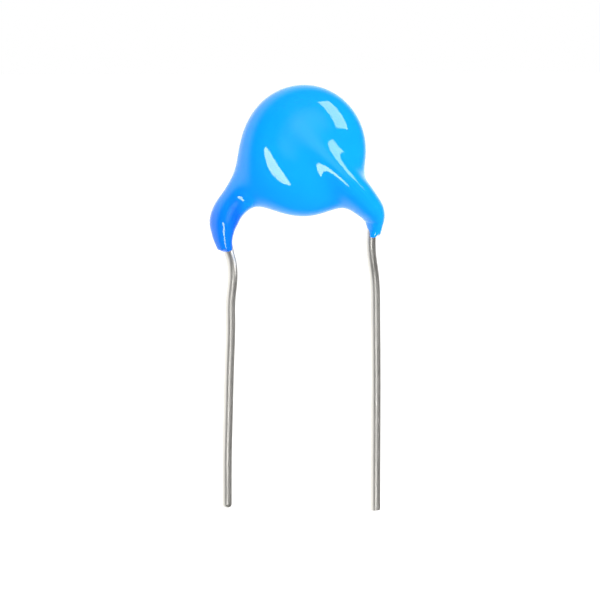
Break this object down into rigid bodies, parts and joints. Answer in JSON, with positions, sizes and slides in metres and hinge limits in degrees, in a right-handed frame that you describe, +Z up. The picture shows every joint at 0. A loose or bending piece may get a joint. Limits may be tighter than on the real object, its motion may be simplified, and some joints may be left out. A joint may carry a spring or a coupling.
{
  "type": "ceramic disc capacitor",
  "caption": "Dipped ceramic disc capacitor: a domed round blue body with two tapering legs and two long straight tinned leads.",
  "frame": {"origin": "midway between the cut ends of the two leads, level with them", "axes": "+Z runs up the leads to the disc, +X points to the lead soldered to the front face, and the front face looks along -Y"},
  "size_m": [0.0117, 0.004, 0.0264],
  "materials": {
    "epoxy_coating": "gloss",
    "fired_ceramic": "matte",
    "fired_silver": "satin",
    "solder": "satin",
    "tinned_wire": "satin"
  },
  "bodies": {
    "root": {"coating": "epoxy_coating", "ceramic_disc": "fired_ceramic", "front_electrode": "fired_silver", "rear_electrode": "fired_silver", "front_solder": "solder", "rear_solder": "solder", "front_lead": "tinned_wire", "rear_lead": "tinned_wire"}
  },
  "joints": []
}
